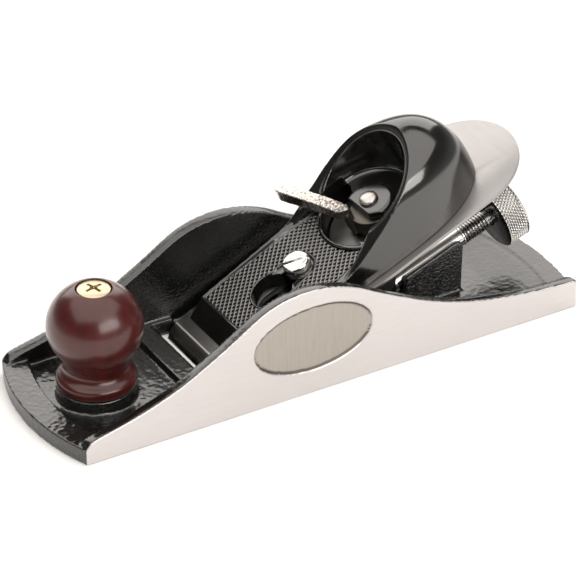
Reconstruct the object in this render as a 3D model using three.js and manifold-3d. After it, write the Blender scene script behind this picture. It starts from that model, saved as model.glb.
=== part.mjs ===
// Block plane: an iron body with bowed toe and heel, a turned front knob, a bevel-up cutter on a
// sloping bed, a hooded lever cap clamped by a swinging cam lever, and a screw depth adjuster.
// Millimetres. +X points to the toe, +Y to the plane's left, +Z up. The origin is on the sole,
// midway along the ground sides.

import * as THREE from 'three';
import { mergeVertices } from 'three/addons/utils/BufferGeometryUtils.js';
import Module from 'manifold-3d';

const wasm = await Module();
wasm.setup();

// Driving dimensions
const SIDE_HALF_LENGTH = 84;
const BODY_HALF_WIDTH = 27;
const TOE_BOW = 5.6;
const HEEL_BOW = 4.3;
const WALL_THICKNESS = 3.8;
const LIP_HEIGHT = 5;
const FLOOR_HEIGHT = 3;
const BED_ANGLE = THREE.MathUtils.degToRad(25);
const EDGE_X = 33;
const MOUTH_FRONT_X = 34.6;
const CUTTER_WIDTH = 41.3;
const CUTTER_LENGTH = 118.4;
const CUTTER_THICKNESS = 2.2;
const BEVEL_ANGLE = THREE.MathUtils.degToRad(25);
const KNOB_X = 66.8;
const KNOB_BASE_HEIGHT = 7;
const KNOB_HEIGHT = 31.2;
const CAP_HALF_WIDTH = 17.8;
const CAP_SCREW_S = 41;
const RIVET_S = 69.7;
const ROD_ANGLE = THREE.MathUtils.degToRad(20.6);
const ROD_RADIUS = 2.9;
const KNURL_RADIUS = 10.8;
const KNURL_LENGTH = 8.2;
const REST_GAP = 0.1;
const CUT_GAP = 0.3;
const ROUND = 40;

// Shared helpers

// A closed geometry as a solid for joining and cutting.
function solid(geometry) {
  const bare = geometry.clone();
  bare.deleteAttribute('normal');
  bare.deleteAttribute('uv');
  const merged = mergeVertices(bare, 1e-4);
  const mesh = new wasm.Mesh({
    numProp: 3,
    vertProperties: new Float32Array(merged.attributes.position.array),
    triVerts: new Uint32Array(merged.index.array),
  });
  return new wasm.Manifold(mesh);
}

// A solid back as a three.js geometry.
function geometryOf(manifold) {
  const mesh = manifold.getMesh();
  const geometry = new THREE.BufferGeometry();
  geometry.setAttribute('position', new THREE.BufferAttribute(mesh.vertProperties, 3));
  geometry.setIndex(new THREE.BufferAttribute(mesh.triVerts, 1));
  geometry.computeVertexNormals();
  return geometry;
}

function joined(parts) {
  return parts.reduce((sum, part) => sum.add(part));
}

function box(x0, x1, y0, y1, z0, z1) {
  const geometry = new THREE.BoxGeometry(x1 - x0, y1 - y0, z1 - z0);
  geometry.translate((x0 + x1) / 2, (y0 + y1) / 2, (z0 + z1) / 2);
  return solid(geometry);
}

// A shape drawn in X and Y, extruded from z0 to z1.
function raised(shape, z0, z1, curveSegments = ROUND) {
  const settings = { depth: z1 - z0, bevelEnabled: false, curveSegments };
  const geometry = new THREE.ExtrudeGeometry(shape, settings);
  geometry.translate(0, 0, z0);
  return solid(geometry);
}

// A shape drawn in X and Z, extruded from y0 to y1.
function across(shape, y0, y1, curveSegments = ROUND) {
  const settings = { depth: y1 - y0, bevelEnabled: false, curveSegments };
  const geometry = new THREE.ExtrudeGeometry(shape, settings);
  geometry.rotateX(Math.PI / 2);
  geometry.translate(0, y1, 0);
  return solid(geometry);
}

function polygon(points) {
  return new THREE.Shape(points.map(([x, y]) => new THREE.Vector2(x, y)));
}

function discShape(x, y, radius) {
  const shape = new THREE.Shape();
  shape.absarc(x, y, radius, 0, 2 * Math.PI);
  return shape;
}

// A round-ended slot along X in plan.
function slotShape(x0, x1, halfWidth) {
  const shape = new THREE.Shape();
  shape.absarc(x0 + halfWidth, 0, halfWidth, Math.PI / 2, 3 * Math.PI / 2);
  shape.absarc(x1 - halfWidth, 0, halfWidth, -Math.PI / 2, Math.PI / 2);
  shape.closePath();
  return shape;
}

// A profile of [radius, height] points turned about Z.
function turned(points, segments = ROUND) {
  const geometry = new THREE.LatheGeometry(points.map(([r, z]) => new THREE.Vector2(r, z)), segments);
  geometry.rotateX(Math.PI / 2);
  return geometry;
}

function turnedAt(points, x, y, z, segments = ROUND) {
  const geometry = turned(points, segments);
  geometry.translate(x, y, z);
  return solid(geometry);
}

function cylinderAlongY(x, z, radius, y0, y1, segments = 24) {
  const geometry = new THREE.CylinderGeometry(radius, radius, y1 - y0, segments);
  geometry.translate(x, (y0 + y1) / 2, z);
  return solid(geometry);
}

// The bed's frame: local X runs down the bed to the toe, local Z is the bed's normal, and the
// origin is the cutting edge. A distance s up the bed is at local X = -s.
const bedMatrix = new THREE.Matrix4().makeRotationY(BED_ANGLE).setPosition(EDGE_X, 0, 0);

function bedHeight(x) {
  return (EDGE_X - x) * Math.tan(BED_ANGLE);
}

function placed(geometry, matrix) {
  return geometry.clone().applyMatrix4(matrix);
}

// The cap screw's frame: local Z is its axis, and the origin is where it leaves the post.
const capScrewShift = new THREE.Matrix4().makeTranslation(-CAP_SCREW_S, 0, 0);
const capScrewMatrix = bedMatrix.clone().multiply(capScrewShift);

// The adjuster's frame: local Z runs up the rod to the knurled knob, and the origin is the middle
// of the knob's front face.
const KNURL_FACE = new THREE.Vector3(-69, 0, 22.4);
const rodMatrix = new THREE.Matrix4().makeRotationY(ROD_ANGLE - Math.PI / 2).setPosition(KNURL_FACE);

function rodPoint(distance) {
  return new THREE.Vector3(0, 0, distance).applyMatrix4(rodMatrix);
}

// The depth lever: its lower arm holds the trunnion nut on the rod, and its upper arm reaches
// the slot in the cutter. Both arms stand square to what they move.
const NUT_DISTANCE = -42.6;
const LOWER_ARM = 10;
const NUT_CENTRE = rodPoint(NUT_DISTANCE);
const PIVOT = new THREE.Vector3(
  NUT_CENTRE.x + LOWER_ARM * Math.sin(ROD_ANGLE),
  0,
  NUT_CENTRE.z + LOWER_ARM * Math.cos(ROD_ANGLE),
);
const PIVOT_IN_BED = PIVOT.clone().applyMatrix4(bedMatrix.clone().invert());
const PIVOT_PIN_RADIUS = 2;
const LEVER_HUB_RADIUS = 3.8;
const RUNNING_GAP = 0.08;

// Body casting

// Plan outline with straight sides and bowed ends.
function bowedOutline(halfLength, halfWidth, toeBow, heelBow) {
  const shape = new THREE.Shape();
  const toeRadius = (halfWidth ** 2 + toeBow ** 2) / (2 * toeBow);
  const heelRadius = (halfWidth ** 2 + heelBow ** 2) / (2 * heelBow);
  const toeAngle = Math.asin(halfWidth / toeRadius);
  const heelAngle = Math.asin(halfWidth / heelRadius);
  shape.absarc(halfLength + toeBow - toeRadius, 0, toeRadius, -toeAngle, toeAngle);
  shape.absarc(heelRadius - halfLength - heelBow, 0, heelRadius, Math.PI - heelAngle, Math.PI + heelAngle);
  shape.closePath();
  return shape;
}

// Side wall in X and Z: low at toe and heel, humped beside the cutter.
function wallShape() {
  const crest = new THREE.SplineCurve([
    [-84, 9.4], [-64, 10.8], [-46, 13.8], [-30, 18.8], [-14, 26.2], [-1, 32.5], [12, 34.8],
    [25, 32.5], [40, 23.6], [54, 15.9], [68, 10.8], [80, 7.8],
  ].map(([x, z]) => new THREE.Vector2(x, z)));
  const shape = new THREE.Shape();
  shape.moveTo(-SIDE_HALF_LENGTH, 0);
  crest.getPoints(44).forEach((point) => shape.lineTo(point.x, point.y));
  shape.quadraticCurveTo(SIDE_HALF_LENGTH, 6.8, SIDE_HALF_LENGTH, 4.4);
  shape.lineTo(SIDE_HALF_LENGTH, 0);
  shape.closePath();
  return shape;
}

// Floor with a lip round it, left thick under the mouth.
function sole() {
  const outside = bowedOutline(SIDE_HALF_LENGTH, BODY_HALF_WIDTH, TOE_BOW, HEEL_BOW);
  const plate = raised(outside, 0, LIP_HEIGHT, 16);
  const innerHalfWidth = BODY_HALF_WIDTH - WALL_THICKNESS;
  const well = raised(bowedOutline(77.4, innerHalfWidth, 3.8, 4), FLOOR_HEIGHT, LIP_HEIGHT + 1, 16);
  const mouthPad = box(30, 44.4, -innerHalfWidth, innerHalfWidth, FLOOR_HEIGHT - 1, LIP_HEIGHT);
  return plate.subtract(well).add(mouthPad);
}

// Height of the casting's bearing surface under the cutter.
function under(x) {
  return bedHeight(x) - REST_GAP;
}

// Sloping bed behind the mouth, a spine to the cap screw's post, and the post itself.
function bed() {
  const inner = BODY_HALF_WIDTH - WALL_THICKNESS + 0.5;
  const ramp = across(polygon([[30.6, 0], [30.6, under(30.6)], [15, under(15)], [15, 0]]), -inner, inner);
  const spine = across(polygon([[16, 0], [16, under(16)], [-12, under(-12)], [-12, 0]]), -5.3, 5.3);
  const post = across(polygon([[3, 0], [3, under(3)], [-12, under(-12)], [-12, 0]]), -13, 13);
  return joined([ramp, spine, post]);
}

// Rib that carries the adjuster rod in an open channel.
const RIB_HALF_WIDTH = 5.3;
const RIB_FRONT_X = -36;
const RIB_END_X = -56.4;

function rib() {
  const shape = new THREE.Shape();
  shape.moveTo(RIB_FRONT_X, 0);
  shape.lineTo(RIB_FRONT_X, 13.3);
  shape.lineTo(-53.6, 20.2);
  shape.quadraticCurveTo(-56, 20.6, RIB_END_X, 18.6);
  shape.lineTo(RIB_END_X, 0);
  shape.closePath();
  const slab = across(shape, -RIB_HALF_WIDTH, RIB_HALF_WIDTH, 6);
  const channelRadius = ROD_RADIUS + CUT_GAP;
  const channel = new THREE.Shape();
  channel.absarc(0, 0, channelRadius, Math.PI / 2, 3 * Math.PI / 2);
  channel.lineTo(9, -channelRadius);
  channel.lineTo(9, channelRadius);
  channel.closePath();
  const cut = new THREE.ExtrudeGeometry(channel, { depth: 60, bevelEnabled: false, curveSegments: 12 });
  cut.translate(0, 0, -55);
  return slab.subtract(solid(placed(cut, rodMatrix)));
}

// Two lugs for the depth lever's pin.
function lugs() {
  const shape = new THREE.Shape();
  shape.moveTo(PIVOT.x + 7, 0);
  shape.absarc(PIVOT.x, PIVOT.z, LEVER_HUB_RADIUS, 0, Math.PI);
  shape.lineTo(PIVOT.x - 6, 0);
  shape.closePath();
  return joined([across(shape, 6.4, 9.4, 12), across(shape, -9.4, -6.4, 12)]);
}

// Elliptical finger grips sunk in the ground sides.
const GRIP_DEPTH = 0.8;

function fingerGrip(side) {
  const shape = new THREE.Shape();
  shape.absellipse(10.2, 18.4, 20, 10.8, 0, 2 * Math.PI);
  const face = side * BODY_HALF_WIDTH;
  const inner = face - side * GRIP_DEPTH;
  const outer = face + side;
  return across(shape, Math.min(inner, outer), Math.max(inner, outer), 32);
}

function bodyCasting() {
  const wall = wallShape();
  const inner = BODY_HALF_WIDTH - WALL_THICKNESS;
  const boss = turnedAt(
    [[0, 0], [11.9, 0], [11.7, 3.4], [11.5, 4], [11.5, KNOB_BASE_HEIGHT], [0, KNOB_BASE_HEIGHT]],
    KNOB_X, 0, 0,
  );
  const iron = joined([
    sole(),
    across(wall, inner, BODY_HALF_WIDTH),
    across(wall, -BODY_HALF_WIDTH, -inner),
    bed(),
    rib(),
    lugs(),
    boss,
  ]);
  const mouth = across(
    polygon([
      [30.6, -1], [30.6, under(30.6)], [18, under(18)], [18, 10], [42, 10],
      [MOUTH_FRONT_X + 3.2, LIP_HEIGHT], [MOUTH_FRONT_X, 1], [MOUTH_FRONT_X, -1],
    ]),
    -21.4,
    21.4,
  );
  const screwHole = turnedAt([[0, 1.5], [2.8, 1.5], [2.8, 9], [0, 9]], KNOB_X, 0, 0, 24);
  const capScrewBore = turned([[0, -14], [2.8, -14], [2.8, 1], [0, 1]], 24);
  const capScrewHole = solid(placed(capScrewBore, capScrewMatrix));
  const pinHole = cylinderAlongY(PIVOT.x, PIVOT.z, PIVOT_PIN_RADIUS + RUNNING_GAP, -10, 10);
  return iron.subtract(joined([mouth, screwHole, capScrewHole, pinHole, fingerGrip(1), fingerGrip(-1)]));
}

// Front knob and its screw

const SCREW_HEAD_RADIUS = 5;
const SCREW_TOP_Z = KNOB_BASE_HEIGHT + KNOB_HEIGHT;

// Flange, neck and flattened ball, with a countersunk bore for the screw.
function frontKnob() {
  const outline = [
    [2.75, 0], [10.9, 0], [11.7, 0.9], [11.7, 2.6], [10.6, 3.8], [9.2, 5.4], [9, 6.4], [9.2, 7.4], [9.9, 8.3],
  ];
  const ballCentre = 18.8;
  const ballRadius = 14;
  const lower = new THREE.EllipseCurve(0, ballCentre, ballRadius, 12.8, -0.76, 0);
  const upper = new THREE.EllipseCurve(0, ballCentre, ballRadius, 13.5, 0, 1.16);
  const ball = [...lower.getPoints(9), ...upper.getPoints(14).slice(1)];
  ball.forEach((point) => outline.push([point.x, point.y]));
  outline.push([SCREW_HEAD_RADIUS + 0.2, KNOB_HEIGHT - 0.1]);
  outline.push([SCREW_HEAD_RADIUS + 0.1, KNOB_HEIGHT - 0.6]);
  outline.push([2.75, KNOB_HEIGHT - 3.2], [2.75, 0]);
  const geometry = turned(outline, 48);
  geometry.translate(KNOB_X, 0, KNOB_BASE_HEIGHT + REST_GAP);
  return geometry;
}

// Countersunk screw with a cross recess.
function knobScrew() {
  const body = turnedAt(
    [[0, 2], [2.4, 2], [2.4, SCREW_TOP_Z - 3.4], [SCREW_HEAD_RADIUS - 0.15, SCREW_TOP_Z - 0.6],
      [SCREW_HEAD_RADIUS - 0.3, SCREW_TOP_Z - 0.1], [3, SCREW_TOP_Z + 0.3], [0, SCREW_TOP_Z + 0.45]],
    KNOB_X, 0, 0, 32,
  );
  const arm = 2.1;
  const half = 0.5;
  const floor = SCREW_TOP_Z - 1.3;
  const cross = joined([
    box(KNOB_X - arm, KNOB_X + arm, -half, half, floor, SCREW_TOP_Z + 2),
    box(KNOB_X - half, KNOB_X + half, -arm, arm, floor, SCREW_TOP_Z + 2),
  ]);
  return body.subtract(cross);
}

// Cutter, in the bed's frame

const NIB_THICKNESS = 2;

function cutter() {
  const half = CUTTER_WIDTH / 2;
  const bevelLength = CUTTER_THICKNESS / Math.tan(BEVEL_ANGLE);
  const plan = new THREE.Shape();
  plan.moveTo(0, -half);
  plan.lineTo(0, half);
  plan.absarc(half - CUTTER_LENGTH, 0, half, Math.PI / 2, 3 * Math.PI / 2);
  plan.closePath();
  const blank = raised(plan, 0, CUTTER_THICKNESS);
  const bevel = across(
    polygon([
      [-0.001, 0.001], [0.5, -0.5], [1, -0.5], [1, 4], [-bevelLength, 4], [-bevelLength, CUTTER_THICKNESS],
    ]),
    -half - 1,
    half + 1,
  );
  const screwSlot = raised(slotShape(-55, -24, 5.6), -1, CUTTER_THICKNESS + 1, 20);
  const nibSlotHalf = NIB_THICKNESS / 2 + 0.45;
  const nibSlot = box(PIVOT_IN_BED.x - nibSlotHalf, PIVOT_IN_BED.x + nibSlotHalf, -3.6, 3.6, -1, 4);
  return blank.subtract(joined([bevel, screwSlot, nibSlot]));
}

// Lever cap, in the bed's frame

const CAP_UNDERSIDE = CUTTER_THICKNESS + REST_GAP;
const CAP_FRONT_S = 8.6;
const CAVITY_RADIUS = 16.2;
const OPENING_RADIUS = 14.6;
const WEB_UNDERSIDE = 10.2;
const PAD_TOP = 12.9;
const GROOVE_FLOOR = 11.3;
const RIVET_RADIUS = 2;
const KEYHOLE_TRAVEL = 10.5;

// Height of the cap's knurled flat, which rises gently up the bed.
function flatHeight(s) {
  return 6.6 + 0.065 * (s - 15);
}

// Height of the hood's rim, which starts level with the flat and rises to a straight slope.
function rimHeight(s) {
  const rise = 0.46 * (s - 49.5);
  return flatHeight(s) + (rise + Math.sqrt(rise ** 2 + 2)) / 2;
}

// Slab with a sloping nose under the knurled flat.
function capSlab() {
  const section = polygon([
    [-CAP_FRONT_S, CAP_UNDERSIDE], [-60, CAP_UNDERSIDE], [-60, flatHeight(60)],
    [-14.8, flatHeight(14.8)], [-CAP_FRONT_S, CAP_UNDERSIDE + 0.5],
  ].reverse());
  return across(section, -CAP_HALF_WIDTH, CAP_HALF_WIDTH);
}

// Dome of the hood: stacked U-shaped outlines with a half-ellipse at the rear.
function dome() {
  const frontS = 44;
  const centreS = 74;
  const topHeight = 28.7;
  const shoulder = 15;
  const levels = 18;
  const arcSteps = 24;
  const rings = [];
  for (let level = 0; level <= levels; level += 1) {
    const angle = (level / levels) * (Math.PI / 2);
    const height = CAP_UNDERSIDE + (topHeight - CAP_UNDERSIDE) * Math.sin(angle);
    const above = Math.max(0, (height - shoulder) / (topHeight - shoulder));
    const halfWidth = 18.2 * Math.max(0.12, 1 - above ** 2.5) ** 0.4;
    const rise = (height - CAP_UNDERSIDE) / (topHeight - CAP_UNDERSIDE);
    const reach = 13.5 + 16.2 * Math.max(0, 1 - rise ** 2.4) ** 0.5;
    const ring = [[-frontS, height, -halfWidth], [-frontS, height, halfWidth]];
    for (let step = 0; step <= arcSteps; step += 1) {
      const turn = (step / arcSteps) * Math.PI;
      ring.push([-centreS - reach * Math.sin(turn), height, halfWidth * Math.cos(turn)]);
    }
    rings.push(ring);
  }
  return solid(skinned(rings));
}

// A closed skin over stacked rings of [x, z, y] points, with fans over the first and last ring.
function skinned(rings) {
  const positions = rings.flat().flatMap(([x, z, y]) => [x, y, z]);
  const count = rings[0].length;
  const indices = [];
  for (let level = 0; level + 1 < rings.length; level += 1) {
    for (let i = 0; i < count; i += 1) {
      const j = (i + 1) % count;
      const a = level * count + i;
      const b = level * count + j;
      indices.push(a, b, b + count, a, b + count, a + count);
    }
  }
  const last = (rings.length - 1) * count;
  for (let i = 1; i + 1 < count; i += 1) {
    indices.push(0, i + 1, i);
    indices.push(last, last + i, last + i + 1);
  }
  const geometry = new THREE.BufferGeometry();
  geometry.setAttribute('position', new THREE.Float32BufferAttribute(positions, 3));
  geometry.setIndex(indices);
  return geometry;
}

// Everything above the rim.
function aboveRim() {
  const slope = [44, 46, 48, 50, 52, 55, 60, 70, 92].map((s) => [-s, rimHeight(s)]);
  const outline = [[-40, rimHeight(44)], ...slope, [-92, 60], [-40, 60]];
  return across(polygon(outline), -30, 30);
}

// The hollow between the hood's two rims, down to the flat.
function betweenRims() {
  const left = [[43, 16.5], [47.4, 16], [53, 15], [59.4, 13.4], [66, 11.6]].map(([s, y]) => [-s, y]);
  const right = left.map(([x, y]) => [x, -y]).reverse();
  const column = raised(polygon([...left, ...right]), 0, 40);
  const aboveFlat = polygon([[-40, flatHeight(40)], [-70, flatHeight(70)], [-70, 40], [-40, 40]]);
  return column.intersect(across(aboveFlat, -20, 20));
}

// The web that carries the rivet: a round neck, with a point at one side and a slope at the other.
function webShape() {
  const front = new THREE.SplineCurve([
    [69.6, -16.6], [69.9, -12.4], [68.5, -8.9], [65, -5.4], [63.9, -2.4], [64, 1], [65.1, 3.8], [67.2, 5.8],
    [69.9, 9.4], [71, 16.6],
  ].map(([s, y]) => new THREE.Vector2(-s, y)));
  return new THREE.Shape([...front.getPoints(27), new THREE.Vector2(-96, 16.6), new THREE.Vector2(-96, -16.6)]);
}

// Well for the cam under the web, the opening in front of the web, and the bowl above it.
function hoodCavity() {
  const drum = raised(discShape(-RIVET_S, 0, CAVITY_RADIUS), -1, WEB_UNDERSIDE, 24);
  const shaft = raised(discShape(-RIVET_S, 0, OPENING_RADIUS), 0, 40, 24);
  const opening = shaft.subtract(raised(webShape(), -1, 41));
  const bowl = turnedAt(
    [[0, PAD_TOP], [6.8, PAD_TOP], [7.6, PAD_TOP - 0.4], [7.8, GROOVE_FLOOR], [13.2, GROOVE_FLOOR],
      [14.3, 12.1], [OPENING_RADIUS, 14], [15.5, 27], [15.5, 40], [0, 40]],
    -RIVET_S, 0, 0, 48,
  );
  return joined([drum, opening, bowl]);
}

// Keyhole: the screw's head passes the large end and bears on the recess along the narrow one.
function keyhole() {
  const bearing = 7.6;
  return joined([
    raised(discShape(-CAP_SCREW_S + KEYHOLE_TRAVEL, 0, 6.4), -1, 20, 24),
    raised(slotShape(-CAP_SCREW_S - 3.2, -CAP_SCREW_S + KEYHOLE_TRAVEL, 3.1), -1, 20, 16),
    raised(slotShape(-CAP_SCREW_S - 5, -CAP_SCREW_S + KEYHOLE_TRAVEL, 5), bearing, 20, 24),
  ]);
}

function leverCap() {
  const rivetHole = raised(discShape(-RIVET_S, 0, RIVET_RADIUS + RUNNING_GAP), 5, 15, 12);
  const hood = dome().subtract(aboveRim().add(betweenRims()));
  const outside = capSlab().add(hood);
  return outside.subtract(joined([hoodCavity(), keyhole(), rivetHole]));
}

function leverCapScrew() {
  const head = 4.2;
  const body = turnedAt(
    [[0, -13], [2.5, -13], [2.5, 7.7], [head, 7.7], [head, 10.9], [head - 0.5, 11.4], [0, 11.5]],
    -CAP_SCREW_S, 0, 0, 32,
  );
  const slotMatrix = new THREE.Matrix4().makeRotationZ(-0.5).setPosition(-CAP_SCREW_S, 0, 0);
  const slot = new THREE.BoxGeometry(10, 1.1, 2.4);
  slot.translate(0, 0, 11.5);
  return body.subtract(solid(placed(slot, slotMatrix)));
}

// Cam lever, in the bed's frame

const PLATE_TOP = CAP_UNDERSIDE + 1.1;
const CAM_BOTTOM = 4.6;
const CAM_TOP = WEB_UNDERSIDE - CUT_GAP;
const RIVET_TAIL_RADIUS = 3.2;

// Handle's plan, widening a little toward a rounded tip.
function handlePlan() {
  const plan = new THREE.Shape();
  plan.moveTo(-62.8, 0.2);
  plan.lineTo(-62.7, -3);
  plan.quadraticCurveTo(-58.5, -13, -54.7, -22.4);
  plan.quadraticCurveTo(-54, -24.6, -52.7, -24);
  plan.quadraticCurveTo(-51.2, -23.4, -51.5, -21.4);
  plan.quadraticCurveTo(-55.6, -10, -59.4, -1.2);
  plan.closePath();
  return plan;
}

// Handle that rises from the cam's root and runs out over the hood's rim.
function camHandle() {
  const profile = new THREE.Shape();
  profile.moveTo(3, 10.4);
  profile.quadraticCurveTo(-4, 14.8, -29, 14.6);
  profile.lineTo(-29, 18.8);
  profile.quadraticCurveTo(-8, 19, 3, 13.6);
  profile.closePath();
  const slab = new THREE.ExtrudeGeometry(profile, { depth: 20, bevelEnabled: false, curveSegments: 10 });
  slab.rotateX(Math.PI / 2);
  slab.rotateZ(Math.PI / 2);
  slab.translate(-68, 0, 0);
  return raised(handlePlan(), 8, 20, 12).intersect(solid(slab));
}

// Cam disc with two wedge pads below, a raised root and a handle.
function camLever() {
  const disc = raised(discShape(-RIVET_S, 0, 7.2), CAM_BOTTOM, CAM_TOP, 24);
  const pads = [-2.4, 0.75].map((turn) => {
    const x = -RIVET_S + 5.4 * Math.cos(turn);
    return raised(discShape(x, 5.4 * Math.sin(turn), 1.6), PLATE_TOP + REST_GAP, CAM_BOTTOM + 0.5, 12);
  });
  const root = raised(polygon([[-64.4, -5], [-61.6, -5], [-61.2, 0], [-62.9, 0]]), CAM_BOTTOM, 12.8);
  const bore = raised(discShape(-RIVET_S, 0, RIVET_RADIUS + RUNNING_GAP), 0, 20, 12);
  const tailRecess = raised(discShape(-RIVET_S, 0, RIVET_TAIL_RADIUS + CUT_GAP), 0, 6.1, 16);
  return joined([disc, ...pads, root, camHandle()]).subtract(bore.add(tailRecess));
}

function camRivet() {
  return turnedAt(
    [[0, 4.8], [RIVET_TAIL_RADIUS, 4.8], [RIVET_TAIL_RADIUS, 5.8], [RIVET_RADIUS, 5.8],
      [RIVET_RADIUS, PAD_TOP + REST_GAP], [2.9, PAD_TOP + REST_GAP], [2.9, PAD_TOP + 0.7],
      [2.2, PAD_TOP + 1.2], [0, PAD_TOP + 1.4]],
    -RIVET_S, 0, 0, 24,
  );
}

// Plate that spreads the cam's pressure, cut away for the depth lever's nib.
function pressurePlate() {
  const plate = raised(discShape(-RIVET_S, 0, CAVITY_RADIUS - 0.5), CAP_UNDERSIDE, PLATE_TOP, 24);
  const flat = box(-RIVET_S + 9, 0, 3, 20, 0, 10);
  return plate.subtract(flat);
}

// Adjuster, in the rod's frame

const COLLAR_DISTANCE = -38.3;
const THREAD_START = -11.2;
const SHANK_RADIUS = 2.6;
const FRONT_THREAD_RADIUS = 2.4;

function adjusterRod() {
  return turned([
    [0, -46.6], [FRONT_THREAD_RADIUS, -46.6], [FRONT_THREAD_RADIUS, COLLAR_DISTANCE], [3.7, COLLAR_DISTANCE],
    [3.7, COLLAR_DISTANCE + 1.4], [SHANK_RADIUS, COLLAR_DISTANCE + 1.4], [SHANK_RADIUS, THREAD_START],
    [ROD_RADIUS, THREAD_START], [ROD_RADIUS, KNURL_LENGTH - 2], [0, KNURL_LENGTH - 2],
  ], 28);
}

// Knurled knob with chamfered rims and a blind bore for the rod.
function adjusterKnob() {
  const bore = ROD_RADIUS + 0.05;
  return turned([
    [bore, 0], [KNURL_RADIUS - 0.7, 0], [KNURL_RADIUS, 0.6], [KNURL_RADIUS, KNURL_LENGTH - 0.8],
    [KNURL_RADIUS - 0.9, KNURL_LENGTH], [0, KNURL_LENGTH], [0, KNURL_LENGTH - 1.6],
    [bore, KNURL_LENGTH - 1.6], [bore, 0],
  ], 48);
}

// Depth lever, its pin and its nut, in the body's frame

const NUT_RADIUS = 3.2;
const JOURNAL_RADIUS = 1.7;
const FORK_INNER = 4.4;
const FORK_OUTER = 6.1;

// Upper arm with a nib for the cutter's slot.
function upperArm() {
  const reach = -PIVOT_IN_BED.z;
  const outline = new THREE.Shape();
  outline.moveTo(PIVOT_IN_BED.x - 3, PIVOT_IN_BED.z);
  outline.lineTo(PIVOT_IN_BED.x + 3, PIVOT_IN_BED.z);
  outline.lineTo(PIVOT_IN_BED.x + 1.8, PIVOT_IN_BED.z + reach - 1.4);
  outline.lineTo(PIVOT_IN_BED.x + NIB_THICKNESS / 2, PIVOT_IN_BED.z + reach - 1);
  outline.lineTo(PIVOT_IN_BED.x + NIB_THICKNESS / 2, 1.4);
  outline.quadraticCurveTo(PIVOT_IN_BED.x, 2.2, PIVOT_IN_BED.x - NIB_THICKNESS / 2, 1.4);
  outline.lineTo(PIVOT_IN_BED.x - NIB_THICKNESS / 2, PIVOT_IN_BED.z + reach - 1);
  outline.lineTo(PIVOT_IN_BED.x - 1.8, PIVOT_IN_BED.z + reach - 1.4);
  outline.closePath();
  const geometry = new THREE.ExtrudeGeometry(outline, { depth: 6, bevelEnabled: false, curveSegments: 6 });
  geometry.rotateX(Math.PI / 2);
  geometry.translate(0, 3, 0);
  return solid(placed(geometry, bedMatrix));
}

function depthLever() {
  const hub = cylinderAlongY(PIVOT.x, PIVOT.z, LEVER_HUB_RADIUS, -FORK_OUTER, FORK_OUTER);
  const along = new THREE.Vector2(Math.cos(ROD_ANGLE), -Math.sin(ROD_ANGLE));
  const corner = (centre, width) => [centre.x + along.x * width, centre.z + along.y * width];
  const tine = polygon([
    corner(PIVOT, -3.4), corner(NUT_CENTRE, -2.8), corner(NUT_CENTRE, 2.8), corner(PIVOT, 3.4),
  ]);
  const tines = [[FORK_INNER, FORK_OUTER], [-FORK_OUTER, -FORK_INNER]].map(([y0, y1]) => (
    across(tine, y0, y1).add(cylinderAlongY(NUT_CENTRE.x, NUT_CENTRE.z, 3, y0, y1))
  ));
  const pinHole = cylinderAlongY(PIVOT.x, PIVOT.z, PIVOT_PIN_RADIUS + RUNNING_GAP, -10, 10);
  const journalHoles = cylinderAlongY(NUT_CENTRE.x, NUT_CENTRE.z, JOURNAL_RADIUS + RUNNING_GAP, -10, 10);
  return joined([hub, upperArm(), ...tines]).subtract(pinHole.add(journalHoles));
}

function leverPin() {
  const geometry = turned([
    [0, -10.2], [2.7, -10.2], [2.7, -9.5], [PIVOT_PIN_RADIUS, -9.5], [PIVOT_PIN_RADIUS, 9.5],
    [2.7, 9.5], [2.7, 10.2], [0, 10.2],
  ], 24);
  geometry.rotateX(-Math.PI / 2);
  geometry.translate(PIVOT.x, 0, PIVOT.z);
  return geometry;
}

function trunnionNut() {
  const barrel = cylinderAlongY(NUT_CENTRE.x, NUT_CENTRE.z, NUT_RADIUS, -4.2, 4.2);
  const journals = cylinderAlongY(NUT_CENTRE.x, NUT_CENTRE.z, JOURNAL_RADIUS, -FORK_OUTER, FORK_OUTER);
  const boreRadius = FRONT_THREAD_RADIUS + CUT_GAP;
  const thread = new THREE.CylinderGeometry(boreRadius, boreRadius, 12, 24);
  thread.rotateX(Math.PI / 2);
  thread.translate(0, 0, NUT_DISTANCE);
  return barrel.add(journals).subtract(solid(placed(thread, rodMatrix)));
}

// Materials

function enamel(name) {
  return new THREE.MeshStandardMaterial({ name, color: 0x0b0c0b, roughness: 0.25, metalness: 0.1 });
}

function steel(name, color, roughness) {
  return new THREE.MeshStandardMaterial({ name, color, roughness, metalness: 0.9 });
}

const materials = {
  body: enamel('body_enamel'),
  knob: new THREE.MeshStandardMaterial({ name: 'lacquered_wood', color: 0x4a0e0c, roughness: 0.2 }),
  brass: steel('brass', 0xd2bf86, 0.3),
  cutter: steel('ground_steel', 0xe0dad2, 0.3),
  cap: enamel('cap_enamel'),
  plated: () => steel('plated_steel', 0xd8d6d0, 0.25),
  dark: () => steel('dark_steel', 0x4a4846, 0.5),
};

// Assembly

function node(name, shape, material) {
  const geometry = shape.getMesh ? geometryOf(shape) : shape;
  const mesh = new THREE.Mesh(geometry, material);
  mesh.name = name;
  return mesh;
}

const plane = new THREE.Group();
plane.add(
  node('body_casting', bodyCasting(), materials.body),
  node('front_knob', frontKnob(), materials.knob),
  node('knob_screw', knobScrew(), materials.brass),
  node('depth_lever', depthLever(), materials.dark()),
  node('lever_pin', leverPin(), materials.dark()),
  node('trunnion_nut', trunnionNut(), materials.plated()),
);

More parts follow.
